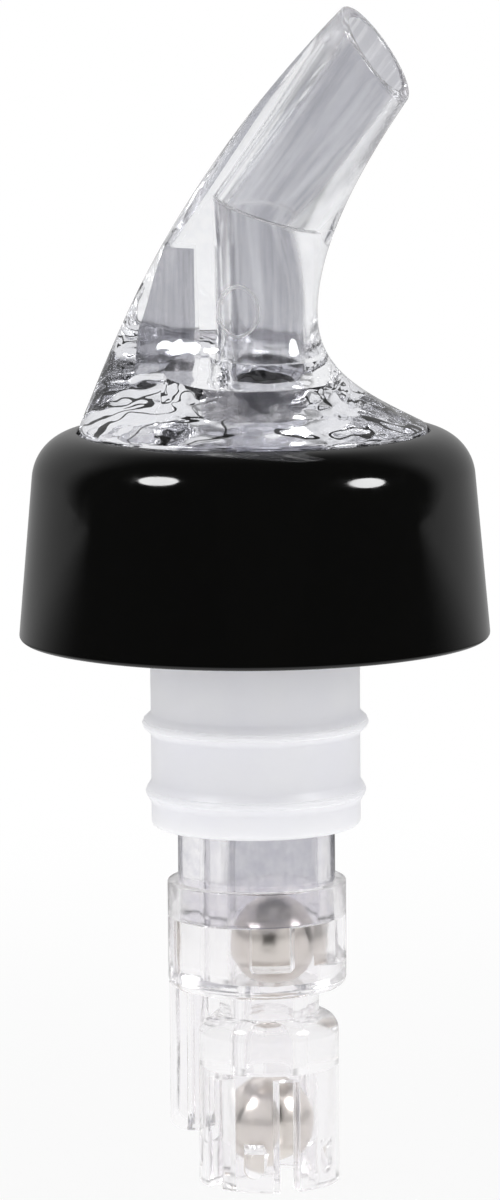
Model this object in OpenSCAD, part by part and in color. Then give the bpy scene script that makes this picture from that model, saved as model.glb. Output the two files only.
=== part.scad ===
// Measured liquor pourer: a clear beaked spout on a black bell collar, a ribbed stopper for the bottle's
// neck, and a metering tube with two steel balls that time the pour and stop it.
// The origin is on the stopper's axis, where the bottle's lip seats. +X is the way the beak points, +Z is up.

/* [Steel balls] */
// Diameter of both balls
ball_d = 7.94; // [7:0.02:8.4]
// Running gap between a ball and the wall of its bore
ball_gap = 0.22; // [0.12:0.02:0.4]
// Gap left between a ball and the seat that it stops on
seat_gap = 0.06; // [0.04:0.01:0.12]
// Rise of the release ball from its catches to the port
release_travel = 1.25; // [0.8:0.05:1.8]

/* [Stopper] */
// Diameter of the stopper's body
stopper_d = 18.5; // [17.5:0.1:19.5]
// Depth of the stopper below the bottle's lip
stopper_len = 30.8; // [27:0.2:36]
// Height of the upper sealing rib over the body
rib_upper_h = 0.75; // [0.4:0.05:1.2]
// Height of the lower sealing rib over the body
rib_lower_h = 0.5; // [0.3:0.05:1]
// Distance between the two ribs
rib_pitch = 6.1; // [4:0.1:8]
// Distance from the lower rib to the stopper's lower end
rib_lift = 3.1; // [2:0.1:5]
// Width of a rib where it meets the body
rib_root = 1.8; // [1.2:0.1:2.4]
// Width of the round land on a rib's crest
rib_land = 0.6; // [0.3:0.1:1]
// Diameter of the stopper's head
head_d = 25; // [22:0.5:30]
// Thickness of the stopper's head
head_t = 1.8; // [1.2:0.1:2.6]
// Bevel at the stopper's lower end
stopper_bevel = 0.5; // [0.2:0.1:1]

/* [Collar] */
// Diameter across the collar's lower rim
collar_d = 41.5; // [39:0.5:46]
// Height of the collar
collar_h = 18.3; // [15:0.1:22]
// Lean of the collar's side, in degrees
collar_draft = 5; // [2:0.5:8]
// Radius of the collar's round shoulder
shoulder_r = 4.3; // [3.4:0.1:5]
// Wall of the collar
collar_wall = 1.7; // [1.2:0.1:2.4]
// Thickness of the web between the spout and the stopper
web_t = 1.6; // [1.2:0.1:2.4]
// Depth of the recess that holds the spout's flange
recess_depth = 0.9; // [0.5:0.1:1.4]
// Gap between the flange and the rim of its recess
recess_gap = 0.2; // [0.1:0.05:0.4]

/* [Spout] */
// Diameter of the spout's flange
flange_d = 30.6; // [28:0.2:32]
// Thickness of the flange at its edge
flange_t = 1.2; // [0.8:0.1:1.8]
// Height of the narrow waist over the flange's seat
waist_h = 11.1; // [9.5:0.1:13]
// Radius of the spout's front at the waist
waist_r = 4.75; // [4.4:0.05:5.4]
// Radius of the ridge along the spout's back
ridge_r = 3.3; // [2.8:0.1:4]
// Height of the bend in the pour channel over the flange's seat
bend_h = 20.1; // [18:0.1:23]
// Length of the beak from the bend to the middle of the mouth
beak_len = 17.5; // [15:0.1:21]
// Outer radius of the beak at the mouth
beak_r = 4.6; // [4.3:0.05:5.2]
// Lean of the beak from upright, in degrees
pour_angle = 36.5; // [30:0.5:42]
// Tilt of the mouth from square to the beak, in degrees
mouth_tilt = 19.5; // [8:0.5:24]
// Diameter of the upright pour channel over the valve seat
channel_d = 7.3; // [6.6:0.05:7.5]
// Diameter of the pour channel along the beak
mouth_d = 7.1; // [6.4:0.05:7.3]
// Depth of the metering tube in the spout
socket_depth = 4.6; // [3.6:0.1:5]
// Height of the valve seat over the tube's upper end
seat_rise = 2.1; // [1.5:0.1:3]
// Distance of the upright vent's front wall behind the stopper's axis
vent_x = 4.3; // [4.2:0.05:4.6]
// Depth of the upright vent from front to back
vent_depth = 3.4; // [2.8:0.1:3.6]
// Depth of the upright vent at its top
vent_top_depth = 2.9; // [2.6:0.1:3]
// Height of the slope that narrows the upright vent to its top
vent_slope = 2; // [1:0.1:3]
// Width of the upright vent
pocket_w = 2.6; // [2.5:0.1:3]
// Height of the upright vent's top over the flange's seat
vent_h = 16.8; // [15.5:0.1:17.2]
// Wall between the bend of the pour channel and the slanted vent
vent_wall = 0.5; // [0.4:0.05:0.8]
// Lean of the slanted vent's front wall from upright, in degrees
vent_lean = 35.5; // [34.5:0.5:36.5]
// Thickness of the slanted vent where its open slot starts
vent_t = 1; // [0.8:0.05:1.1]
// Width of the slanted vent
vent_w = 2.2; // [1.6:0.1:2.4]
// Height over the flange's seat where the vent's open slot starts
open_h = 30; // [28:0.1:31]
// Height of the ledge over the flange's seat, where the open slot ends under the tip
ledge_h = 35; // [33:0.1:36]

/* [Metering tube] */
// Outer diameter of the tube
tube_d = 13.9; // [13.4:0.1:14.6]
// Distance of the ball bore from the tube's axis, toward the beak
bore_offset = 1; // [0.7:0.05:1.4]
// Diameter of the breather bore
breather_d = 2; // [1.4:0.1:2.2]
// Wall outside the breather bore
breather_wall = 0.65; // [0.5:0.05:0.9]
// Length of bare tube between the stopper and the cage
tube_show = 4.9; // [3:0.1:8]
// Radial gap of the pressed pieces around the tube
fit_gap = 0.03; // [0.02:0.01:0.06]

/* [Ball cage] */
// Outer diameter of the cage's sleeve
sleeve_d = 15.8; // [15.4:0.1:17]
// Depth of the tube in the sleeve
tube_seat = 3.3; // [2.4:0.1:5]
// Depth of the cup under the tube
cup_depth = 5.3; // [4.6:0.1:6.5]
// Diameter of the port under the cup
port_d = 4.4; // [3.4:0.1:5]
// Thickness of the sleeve's floor round the port
floor_t = 1; // [0.6:0.1:1.6]
// Radius of the sleeve's lower edge
sleeve_round = 1; // [0.4:0.1:1.4]
// Diameter of the neck between the cup and the pocket
neck_d = 9; // [8:0.1:10]
// Height of the bare neck
neck_len = 2.3; // [1.2:0.1:3]
// Outer diameter of the slotted pocket
cage_d = 12.5; // [11.6:0.1:13.4]
// Thickness of the pocket's roof
roof_t = 5; // [4:0.1:7]
// Depth of the pocket
pocket_depth = 10.2; // [9.8:0.1:12]
// Width of the slots between the fingers
slot_w = 1.9; // [1:0.1:2.2]
// Direction of the slots from the pocket's front and back, in degrees
slot_turn = 56; // [50:1:65]
// Distance from the pocket's roof to the top of the slots
slot_drop = 0.3; // [0.1:0.1:1.5]
// How far each catch reaches in under the ball
catch_reach = 0.75; // [0.5:0.05:1.1]
// Width of each catch
catch_w = 1.6; // [1.2:0.1:3]
// Height of the catch's lead-in ramp
catch_ramp = 2.1; // [1.2:0.1:2.4]
// Thickness of the ramp at its round toe
catch_toe = 0.25; // [0.1:0.05:0.4]
// Width of the inlet windows round the cup
window_w = 3.4; // [2.4:0.1:4]
// Height of the inlet windows
window_h = 4; // [2.5:0.1:4.6]
// Height of the sill under the windows over the cup's floor
window_sill = 1.5; // [0.5:0.1:2]
// Turn from the front window to the ones at the sides, in degrees
window_turn = 71; // [60:1:90]
// Width of the breather shroud
shroud_w = 4.8; // [4:0.1:5.6]
// Length of the shroud below the pocket's roof
shroud_drop = 5.7; // [4:0.1:8]
// Radius of the shroud's lower corner
shroud_round = 2; // [1:0.1:2.4]
// Step from the sleeve's side in to the shroud's
shroud_step = 0.06; // [0.04:0.02:0.3]

/* [Hidden] */
$fn = 64;
// Overlap that carries a cut past the face it opens
past = 1;
// Overlap that joins one form to another inside a piece
bite = 0.3;

// Radii and gaps that several pieces share
ball_r = ball_d / 2;
bore_r = ball_r + ball_gap;
tube_r = tube_d / 2;
fit_r = tube_r + fit_gap;
breather_r = breather_d / 2;
breather_x = tube_r - breather_wall - breather_r;
stopper_r = stopper_d / 2;
sleeve_r = sleeve_d / 2;
cage_r = cage_d / 2;
neck_r = neck_d / 2;
port_r = port_d / 2;
flange_r = flange_d / 2;
channel_r = channel_d / 2;
mouth_r = mouth_d / 2;

// Heights up the stack from the bottle's lip
flange_z = head_t + web_t;
rim_z = flange_z + flange_t;
collar_top = flange_z + recess_depth;
collar_bottom = collar_top - collar_h;
tube_top = flange_z + socket_depth;
seat_z = tube_top + seat_rise;
bend_z = flange_z + bend_h;

// Heights down the stack from the bottle's lip
rib_lower_z = rib_lift - stopper_len;
rib_upper_z = rib_lower_z + rib_pitch;
sleeve_top = -stopper_len - tube_show;
tube_end = sleeve_top - tube_seat;
cup_floor = tube_end - cup_depth;
sleeve_bottom = cup_floor - floor_t;
shoulder_top = sleeve_bottom - neck_len;
roof_z = shoulder_top - roof_t;
cage_bottom = roof_z - pocket_depth;
slot_top = roof_z - slot_drop;
shroud_bottom = roof_z - shroud_drop;

// Where each ball rests and stops
metering_rest = cup_floor + sqrt(pow(ball_r + seat_gap, 2) - pow(port_r, 2));
metering_stop = seat_z - sqrt(pow(ball_r + seat_gap, 2) - pow(channel_r, 2));
release_stop = roof_z - sqrt(pow(ball_r + seat_gap, 2) - pow(port_r, 2));
release_rest = release_stop - release_travel;
catch_r = ball_r - catch_reach;
catch_z = release_rest - sqrt(pow(ball_r + seat_gap, 2) - pow(catch_r, 2));
echo(metering_rest = metering_rest, metering_travel = metering_stop - metering_rest);
echo(release_rest = release_rest, release_travel = release_travel);

// Outline of the spout in its middle plane, as [forward, up]
function lean(angle) = [sin(angle), cos(angle)];
function cubic(p, t) =
    pow(1 - t, 3) * p[0] + 3 * t * pow(1 - t, 2) * p[1] + 3 * t * t * (1 - t) * p[2] + pow(t, 3) * p[3];
// A curve that leaves a at one lean and reaches b at another, with handles as shares of the span
function sweep(a, lean_a, share_a, b, lean_b, share_b) =
    let (span = norm(b - a))
    [a, a + span * share_a * lean(lean_a), b - span * share_b * lean(lean_b), b];
bend = [bore_offset, bend_z];
mouth_middle = bend + beak_len * lean(pour_angle);
mouth_half = beak_r / cos(mouth_tilt) * lean(pour_angle + mouth_tilt + 90);
lip = mouth_middle + mouth_half;
crown = mouth_middle - mouth_half;
waist = [bore_offset + waist_r, flange_z + waist_h];
// Leans of the outline from upright, in degrees: at the flange's front and back, the lip and the crown
front_lean = -63.5;
back_lean = 17.5;
lip_lean = 35.5;
crown_lean = 45.5;
flare_curve = sweep([flange_r, rim_z], front_lean, 0.46, waist, 0, 0.36);
throat_curve = sweep(waist, 0, 0.29, lip, lip_lean, 0.355);
back_curve = sweep([-flange_r, rim_z], back_lean, 0.28, crown, crown_lean, 0.4);
// Share of the back curve that lies below the waist
waist_share = 0.25;
flare_rings = 9;
throat_rings = 14;
front_points = 20;
back_points = 14;

// One section: the outline round a front circle and a back circle, on the line from the back to the front
function section(back, front, back_r, front_r) =
    let (
        along = (front - back) / norm(front - back),
        gap = max(norm(front - back) - back_r - front_r, 0.001),
        turn = acos(max(-1, min(1, (back_r - front_r) / gap))),
        front_mid = front - along * front_r,
        back_mid = back + along * back_r
    )
    concat(
        [for (i = [0 : front_points]) ring_point(front_mid, along, front_r, turn * (2 * i / front_points - 1))],
        [for (i = [0 : back_points])
            ring_point(back_mid, along, back_r, turn + (360 - 2 * turn) * i / back_points)]
    );
function ring_point(mid, along, r, angle) =
    [mid.x + along.x * r * cos(angle), r * sin(angle), mid.y + along.y * r * cos(angle)];
function flare_section(t) =
    let (
        front = cubic(flare_curve, t),
        front_r = front.x - bore_offset * t,
        back_r = front_r * (1 - (1 - ridge_r / waist_r) * t)
    )
    section(cubic(back_curve, waist_share * t), front, back_r, front_r);
function beak_section(t) =
    section(
        cubic(back_curve, waist_share + (1 - waist_share) * t),
        cubic(throat_curve, t),
        ridge_r + (beak_r - ridge_r) * t * t,
        waist_r + (beak_r - waist_r) * t
    );

// A solid through a stack of rings that have equal numbers of points
module loft(rings) {
    n = len(rings[0]);
    last = len(rings) - 1;
    sides = [for (k = [0 : last - 1], i = [0 : n - 1])
        let (j = (i + 1) % n)
        each [[k * n + i, (k + 1) * n + i, k * n + j], [k * n + j, (k + 1) * n + i, (k + 1) * n + j]]];
    low_cap = [[for (i = [0 : n - 1]) i]];
    high_cap = [[for (i = [n - 1 : -1 : 0]) last * n + i]];
    polyhedron(points = [for (ring = rings) each ring], faces = concat(low_cap, sides, high_cap));
}

// A round drum between two heights, with either edge rounded
module drum(r, low, high, low_round = 0, high_round = 0) {
    rotate_extrude()
        translate([0, low]) {
            translate([0, low_round]) square([r, high - low - low_round - high_round]);
            square([r - max(low_round, high_round), high - low]);
            if (low_round > 0) translate([r - low_round, low_round]) circle(low_round);
            if (high_round > 0) translate([r - high_round, high - low - high_round]) circle(high_round);
        }
}

// The half space over or under the plane where the two pour channels meet
module mitre_side(up) {
    reach = 4 * beak_len;
    translate([bend.x, 0, bend.y])
        rotate([0, pour_angle / 2, 0])
            translate([-reach / 2, -reach / 2, up ? 0 : -reach])
                cube(reach);
}

module pour_channel() {
    intersection() {
        translate([bore_offset, 0, seat_z - past]) cylinder(r = channel_r, h = bend_h + past);
        mitre_side(false);
    }
    intersection() {
        translate([bend.x, 0, bend.y])
            rotate([0, pour_angle, 0])
                translate([0, 0, -2 * mouth_r])
                    cylinder(r = mouth_r, h = 2 * mouth_r + beak_len + 3 * beak_r);
        mitre_side(true);
    }
}

// The air way from the tube's breather bore up the spout's back to the open slot under the tip
module air_way() {
    vent_top = flange_z + vent_h;
    open_z = flange_z + open_h;
    ledge_z = flange_z + ledge_h;
    corner = bend + channel_r * [-1, tan(pour_angle / 2)];
    function vent_front(z) = corner.x - vent_wall / cos(vent_lean) + (z - corner.y) * tan(vent_lean);
    low_z = vent_top - bite;
    low_back = -vent_x - vent_top_depth;
    rotate([90, 0, 0]) {
        linear_extrude(pocket_w, center = true)
            polygon([
                [-vent_x, tube_top - bite],
                [-vent_x, vent_top],
                [low_back, vent_top],
                [-vent_x - vent_depth, vent_top - vent_slope],
                [-vent_x - vent_depth, tube_top - bite]
            ]);
        linear_extrude(vent_w, center = true)
            polygon([
                [vent_front(low_z), low_z],
                [vent_front(ledge_z), ledge_z],
                [-flange_r, ledge_z],
                [-flange_r, open_z],
                [vent_front(open_z) - vent_t / cos(vent_lean), open_z],
                [low_back, low_z]
            ]);
    }
}

module spout() {
    color("whitesmoke", 0.5)
        difference() {
            loft(concat(
                [section([-flange_r, flange_z], [flange_r, flange_z], flange_r, flange_r)],
                [for (k = [0 : flare_rings - 1]) flare_section(k / flare_rings)],
                [for (k = [0 : throat_rings]) beak_section(k / throat_rings)]
            ));
            translate([0, 0, flange_z - past]) cylinder(r = fit_r, h = socket_depth + past);
            translate([bore_offset, 0, tube_top - past]) cylinder(r = bore_r, h = past + seat_z - tube_top);
            pour_channel();
            air_way();
        }
}

// Half of the collar's section, set in by a wall
module collar_half(inset) {
    mid_z = collar_top - shoulder_r;
    mid_r = collar_d / 2 - (shoulder_r + (mid_z - collar_bottom) * sin(collar_draft)) / cos(collar_draft);
    r = shoulder_r - inset;
    polygon([
        [0, collar_bottom],
        [collar_d / 2 - inset / cos(collar_draft), collar_bottom],
        [mid_r + r * cos(collar_draft), mid_z + r * sin(collar_draft)],
        [mid_r, mid_z],
        [mid_r, mid_z + r],
        [0, mid_z + r]
    ]);
    translate([mid_r, mid_z]) circle(r);
}

module collar() {
    color("black")
        difference() {
            rotate_extrude() collar_half(0);
            rotate_extrude()
                intersection() {
                    collar_half(collar_wall);
                    translate([0, collar_bottom]) square([collar_d, head_t - collar_bottom]);
                }
            translate([0, 0, flange_z]) cylinder(r = flange_r + recess_gap, h = recess_depth + past);
            translate([0, 0, head_t - past]) cylinder(r = fit_r, h = web_t + 2 * past);
        }
}

// The outline of one sealing rib, from its upper root to its lower root
function rib(z, h) = [
    [stopper_r, z + rib_root / 2],
    [stopper_r + h, z + rib_land / 2],
    [stopper_r + h, z - rib_land / 2],
    [stopper_r, z - rib_root / 2]
];

module stopper() {
    color("white")
        rotate_extrude()
            polygon(concat(
                [[fit_r, head_t], [head_d / 2, head_t], [head_d / 2, 0], [stopper_r, 0]],
                rib(rib_upper_z, rib_upper_h),
                rib(rib_lower_z, rib_lower_h),
                [
                    [stopper_r, stopper_bevel - stopper_len],
                    [stopper_r - stopper_bevel, -stopper_len],
                    [fit_r, -stopper_len]
                ]
            ));
}

module metering_tube() {
    length = tube_top - tube_end;
    color("whitesmoke", 0.5)
        translate([0, 0, tube_end])
            difference() {
                cylinder(r = tube_r, h = length);
                translate([bore_offset, 0, -past]) cylinder(r = bore_r, h = length + 2 * past);
                translate([-breather_x, 0, -past]) cylinder(r = breather_r, h = length + 2 * past);
            }
}

// The rounded bar down the back of the cage that carries the breather bore
module shroud() {
    outer = sleeve_r - shroud_step;
    height = sleeve_bottom + bite - shroud_bottom;
    intersection() {
        translate([0, 0, shroud_bottom - past]) cylinder(r = outer, h = height + 2 * past);
        translate([-outer, shroud_w / 2, shroud_bottom])
            rotate([90, 0, 0])
                linear_extrude(shroud_w) {
                    translate([0, shroud_round]) square([outer + bore_offset, height - shroud_round]);
                    translate([shroud_round, 0]) square([outer + bore_offset - shroud_round, height]);
                    translate([shroud_round, shroud_round]) circle(shroud_round);
                }
    }
}

// The catches that hold the release ball, one in the middle of each finger
module catches() {
    rise = bore_r - catch_r;
    intersection() {
        translate([bore_offset, 0, 0])
            rotate_extrude()
                polygon([
                    [catch_r, catch_z],
                    [bore_r, catch_z + rise],
                    [bore_r + bite, catch_z + rise],
                    [bore_r + bite, catch_z - catch_ramp],
                    [bore_r - catch_toe, catch_z - catch_ramp]
                ]);
        union() {
            for (turn = [0, 90])
                translate([bore_offset, 0, catch_z - catch_ramp + catch_w / 2])
                    rotate([90, 0, turn])
                        linear_extrude(cage_d, center = true) {
                            circle(d = catch_w);
                            translate([-catch_w / 2, 0]) square([catch_w, catch_ramp + rise]);
                        }
        }
    }
}

module ball_cage() {
    color("whitesmoke", 0.5) {
        difference() {
            union() {
                drum(sleeve_r, sleeve_bottom, sleeve_top, low_round = sleeve_round);
                translate([bore_offset, 0, 0]) {
                    drum(cage_r, cage_bottom, shoulder_top, high_round = cage_r - neck_r);
                    translate([0, 0, shoulder_top - bite])
                        cylinder(r = neck_r, h = neck_len + 2 * bite);
                }
                shroud();
            }
            translate([0, 0, tube_end]) cylinder(r = fit_r, h = tube_seat + past);
            translate([-breather_x, 0, shroud_bottom - past])
                cylinder(r = breather_r, h = tube_end - shroud_bottom + 2 * past);
            translate([bore_offset, 0, 0]) {
                translate([0, 0, cup_floor]) cylinder(r = bore_r, h = cup_depth + past);
                translate([0, 0, roof_z - past]) cylinder(r = port_r, h = cup_floor - roof_z + 2 * past);
                translate([0, 0, cage_bottom - past]) cylinder(r = bore_r, h = pocket_depth + past);
                for (turn = [slot_turn, 180 - slot_turn, 180 + slot_turn, -slot_turn])
                    rotate(turn)
                        translate([0, -slot_w / 2, cage_bottom - past])
                            cube([cage_d, slot_w, slot_top - cage_bottom + past]);
                for (turn = [-window_turn, 0, window_turn])
                    rotate(turn)
                        translate([0, -window_w / 2, cup_floor + window_sill])
                            cube([sleeve_d, window_w, window_h]);
            }
        }
        catches();
    }
}

module metering_ball() {
    color("silver") translate([bore_offset, 0, metering_rest]) sphere(ball_r);
}

module release_ball() {
    color("silver") translate([bore_offset, 0, release_rest]) sphere(ball_r);
}

spout();
collar();
stopper();
metering_tube();
ball_cage();
metering_ball();
release_ball();
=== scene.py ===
"""Looks of the measured liquor pourer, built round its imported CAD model.

Pieces are modelled in millimetres in the part's own frame, and brought to metres when they are placed. The origin is
on the stopper's axis where the bottle's lip seats, +X is the way the beak points and +Z is up.
"""

import math

import bmesh
import bpy
from mathutils import Matrix, Vector
from mathutils.bvhtree import BVHTree


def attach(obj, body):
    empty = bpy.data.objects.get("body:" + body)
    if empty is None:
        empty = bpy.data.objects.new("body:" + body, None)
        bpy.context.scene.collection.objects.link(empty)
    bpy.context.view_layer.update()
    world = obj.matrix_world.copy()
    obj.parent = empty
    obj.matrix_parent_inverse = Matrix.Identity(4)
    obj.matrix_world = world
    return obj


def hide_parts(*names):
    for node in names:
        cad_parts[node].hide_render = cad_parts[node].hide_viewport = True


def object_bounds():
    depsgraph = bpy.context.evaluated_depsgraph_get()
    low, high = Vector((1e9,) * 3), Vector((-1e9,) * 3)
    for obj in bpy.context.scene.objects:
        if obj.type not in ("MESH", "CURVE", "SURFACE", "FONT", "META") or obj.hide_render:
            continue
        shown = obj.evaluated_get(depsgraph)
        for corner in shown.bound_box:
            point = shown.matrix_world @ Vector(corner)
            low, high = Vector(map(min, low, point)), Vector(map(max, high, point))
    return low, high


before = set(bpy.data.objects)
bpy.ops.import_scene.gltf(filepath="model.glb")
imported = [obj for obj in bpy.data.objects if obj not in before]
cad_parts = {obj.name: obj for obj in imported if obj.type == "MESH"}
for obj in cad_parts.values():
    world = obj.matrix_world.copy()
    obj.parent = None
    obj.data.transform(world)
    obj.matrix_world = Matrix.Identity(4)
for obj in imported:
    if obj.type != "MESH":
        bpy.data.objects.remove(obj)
cad_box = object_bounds()

MM = 0.001
# Fine gap that keeps one visible surface off another that it rests on
LIFT = 0.03
# Overlap that carries a cut past the face it opens
PAST = 1.0
# Overlap of shapes that are joined
JOIN = 0.3
# Tolerance for where a point lies
NEAR = 0.001
# Distance within which points are merged, and the length of edges too short to keep
MERGE, SLIVER = 0.0005, 0.0001
# Edges that turn by more than this many degrees look sharp
SHARP = 38
FULL_TURN = 2 * math.pi
ROUND_STEPS, SMALL_STEPS = 96, 48
# Heights between which the flow waves of the clear pieces fade
WAVES_LOW, WAVES_HIGH = 11.0, 16.0
# Most finishes that one piece has
FINISHES = 5

# Sizes that several pieces share, from the part's source
BALL_R = 3.97
BORE_X = 1.0
BORE_R = 4.19
TUBE_R = 6.95
FIT_R = 6.98
BREATHER_X = -5.3
BREATHER_R = 1.0
FLANGE_Z = 3.4
TUBE_TOP = 8.0
TUBE_END = -39.0


# The photograph's camera

IMAGE_HEIGHT = 1200
AZIMUTH, ELEVATION, ROLL = 17.0, 8.2, -0.45
DISTANCE = 0.62
# Scale of the photograph at the stopper's axis, the axis point level with its middle, and how far left the middle lies
PIXELS_PER_MM = 11.35
AIM = Vector((0, 0, -0.0108))
AIM_SHIFT = 0.0004
SENSOR_MM = 36
CLIP_START, CLIP_END = 0.01, 20


def turned(azimuth, elevation):
    """The direction from the object toward a lamp or camera at these angles, in degrees."""
    a, e = math.radians(azimuth), math.radians(elevation)
    return Vector((math.sin(a) * math.cos(e), -math.cos(a) * math.cos(e), math.sin(e)))


def make_camera():
    """A camera whose upright frame covers the photograph's, at the photograph's angle."""
    data = bpy.data.cameras.new("photo_camera")
    camera = bpy.data.objects.new("photo_camera", data)
    bpy.context.scene.collection.objects.link(camera)
    back = turned(AZIMUTH, ELEVATION)
    look = (-back).to_track_quat("-Z", "Y").to_matrix().to_4x4()
    across = look.to_3x3() @ Vector((1, 0, 0))
    spot = AIM + back * DISTANCE - across * AIM_SHIFT
    camera.matrix_world = Matrix.Translation(spot) @ look @ Matrix.Rotation(math.radians(ROLL), 4, "Z")
    frame_height = IMAGE_HEIGHT / PIXELS_PER_MM * MM
    data.sensor_width = SENSOR_MM
    data.lens = SENSOR_MM * DISTANCE / frame_height
    data.clip_start, data.clip_end = CLIP_START, CLIP_END
    bpy.context.scene.camera = camera


# Tools for shapes


def closed_loop(bm, points):
    """The edges of a closed loop through points."""
    verts = [bm.verts.new(p) for p in points]
    return [bm.edges.new(pair) for pair in zip(verts, verts[1:] + verts[:1])]


def mend(bm):
    """Merges doubled points and turns all faces outwards."""
    bmesh.ops.remove_doubles(bm, verts=bm.verts, dist=MERGE)
    bmesh.ops.dissolve_degenerate(bm, edges=bm.edges, dist=SLIVER)
    bmesh.ops.recalc_face_normals(bm, faces=bm.faces)
    return bm


def loft(rings):
    """A solid through a stack of rings that have equal numbers of points."""
    bm = bmesh.new()
    loops = [closed_loop(bm, ring) for ring in rings]
    for low, high in zip(loops, loops[1:]):
        bmesh.ops.bridge_loops(bm, edges=low + high)
    for end in (loops[0], loops[-1]):
        bmesh.ops.edgeloop_fill(bm, edges=end)
    return mend(bm)


def lathe(profile, x=0.0, steps=ROUND_STEPS):
    """Points of [radius, height] turned about an upright axis at x. A profile that leaves the axis is a closed one."""
    bm = bmesh.new()
    verts = [bm.verts.new((x + r, 0, z)) for r, z in profile]
    pairs = list(zip(verts, verts[1:]))
    if min(r for r, z in profile) > 0:
        pairs.append((verts[-1], verts[0]))
    edges = [bm.edges.new(pair) for pair in pairs]
    bmesh.ops.spin(
        bm, geom=verts + edges, cent=(x, 0, 0), axis=(0, 0, 1), angle=FULL_TURN, steps=steps, use_merge=True
    )
    return mend(bm)


def arc(r, z, radius, start, end, steps=8):
    """Profile points round a corner whose middle is at [r, z], between two angles in degrees."""
    angles = [math.radians(start + (end - start) * i / steps) for i in range(steps + 1)]
    return [(r + radius * math.cos(a), z + radius * math.sin(a)) for a in angles]


def rod(radius, low, high, x=0.0, steps=ROUND_STEPS):
    """An upright round rod between two heights."""
    bm = bmesh.new()
    bmesh.ops.create_cone(
        bm,
        cap_ends=True,
        segments=steps,
        radius1=radius,
        radius2=radius,
        depth=high - low,
        matrix=Matrix.Translation((x, 0, (low + high) / 2)),
    )
    return bm


def rounded_rod(radius, low, high, low_edge, high_edge, x=0.0):
    """An upright round rod with rounded edges, each given as [rounding, steps]."""
    (low_r, low_steps), (high_r, high_steps) = low_edge, high_edge
    profile = [
        (0, low),
        *arc(radius - low_r, low + low_r, low_r, -90, 0, low_steps),
        *arc(radius - high_r, high - high_r, high_r, 0, 90, high_steps),
        (0, high),
    ]
    return lathe(profile, x=x)


def block(low, high, turn=0.0, x=0.0):
    """A block between two corners, turned in degrees about the upright axis at x."""
    low, high = Vector(low), Vector(high)
    bm = bmesh.new()
    place = Matrix.Translation((x, 0, 0)) @ Matrix.Rotation(math.radians(turn), 4, "Z")
    size = Matrix.Diagonal((*(high - low), 1))
    bmesh.ops.create_cube(bm, size=1, matrix=place @ Matrix.Translation((low + high) / 2) @ size)
    return bm


def plate(outline, width):
    """An outline of [forward, up] points, drawn out to both sides of the middle plane."""
    bm = bmesh.new()
    edges = closed_loop(bm, [(x, -width / 2, z) for x, z in outline])
    face = bmesh.ops.edgeloop_fill(bm, edges=edges)["faces"]
    drawn = bmesh.ops.extrude_face_region(bm, geom=face)["geom"]
    bmesh.ops.translate(bm, vec=(0, width, 0), verts=[v for v in drawn if isinstance(v, bmesh.types.BMVert)])
    return mend(bm)


def lined(bm, slot):
    """A cutter whose faces leave their own finish, by its place in the piece's list of finishes."""
    for face in bm.faces:
        face.material_index = slot
    return bm


def spare_object(bm):
    """A working object for modifiers, with an empty slot for each finish."""
    mesh = bpy.data.meshes.new("spare")
    bm.to_mesh(mesh)
    bm.free()
    for _ in range(FINISHES):
        mesh.materials.append(None)
    spare = bpy.data.objects.new("spare", mesh)
    bpy.context.scene.collection.objects.link(spare)
    return spare


def settled(spare, tools=()):
    """The shape of an object with its modifiers carried out. The object and its tools are removed."""
    graph = bpy.context.evaluated_depsgraph_get()
    mesh = bpy.data.meshes.new_from_object(spare.evaluated_get(graph))
    bm = bmesh.new()
    bm.from_mesh(mesh)
    for used in (spare, *tools):
        bpy.data.meshes.remove(used.data)
    bpy.data.meshes.remove(mesh)
    return bm


def worked(bm, operation, *others):
    """A shape joined with others, cut by them or kept only inside them."""
    base = spare_object(bm)
    tools = [spare_object(other) for other in others]
    for tool in tools:
        step = base.modifiers.new("step", "BOOLEAN")
        step.operation, step.object, step.solver = operation, tool, "EXACT"
    return settled(base, tools)


def joined(bm, *others):
    return worked(bm, "UNION", *others)


def cut(bm, *others):
    return worked(bm, "DIFFERENCE", *others)


def kept_inside(bm, *others):
    return worked(bm, "INTERSECT", *others)


def place(bm, name, finishes, slot, node, body="pourer"):
    """Puts a finished shape on its body, in place of its CAD node."""
    mend(bm)
    bmesh.ops.scale(bm, vec=(MM, MM, MM), verts=bm.verts)
    for face in bm.faces:
        face.smooth = True
    for edge in bm.edges:
        edge.smooth = edge.calc_face_angle(0) < math.radians(SHARP)
    mesh = bpy.data.meshes.new(name)
    bm.to_mesh(mesh)
    bm.free()
    for finish in finishes:
        mesh.materials.append(finish)
    piece = bpy.data.objects.new(name, mesh)
    bpy.context.scene.collection.objects.link(piece)
    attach(piece, body)
    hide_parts(node)


# Tools for finishes


def linear(code):
    """An sRGB hex colour as the linear colour that shaders take."""
    parts = [int(code[i : i + 2], 16) / 255 for i in (1, 3, 5)]
    return (*[c / 12.92 if c <= 0.04045 else ((c + 0.055) / 1.055) ** 2.4 for c in parts], 1)


def add(tree, kind, inputs=None, **settings):
    """Adds a node with its settings, and sets or links its inputs."""
    made = tree.nodes.new(kind)
    for name, value in settings.items():
        setattr(made, name, value)
    for name, value in (inputs or {}).items():
        if isinstance(value, bpy.types.NodeSocket):
            tree.links.new(value, made.inputs[name])
        else:
            made.inputs[name].default_value = value
    return made


def new_finish(name):
    """An empty material, its node tree and its Object coordinates."""
    finish = bpy.data.materials.new(name)
    finish.use_nodes = True
    tree = finish.node_tree
    tree.nodes.clear()
    return finish, tree, add(tree, "ShaderNodeTexCoord").outputs["Object"]


def per_mm(size):
    """The scale of a pattern whose features are this many millimetres across."""
    return 1 / (size * MM)


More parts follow.
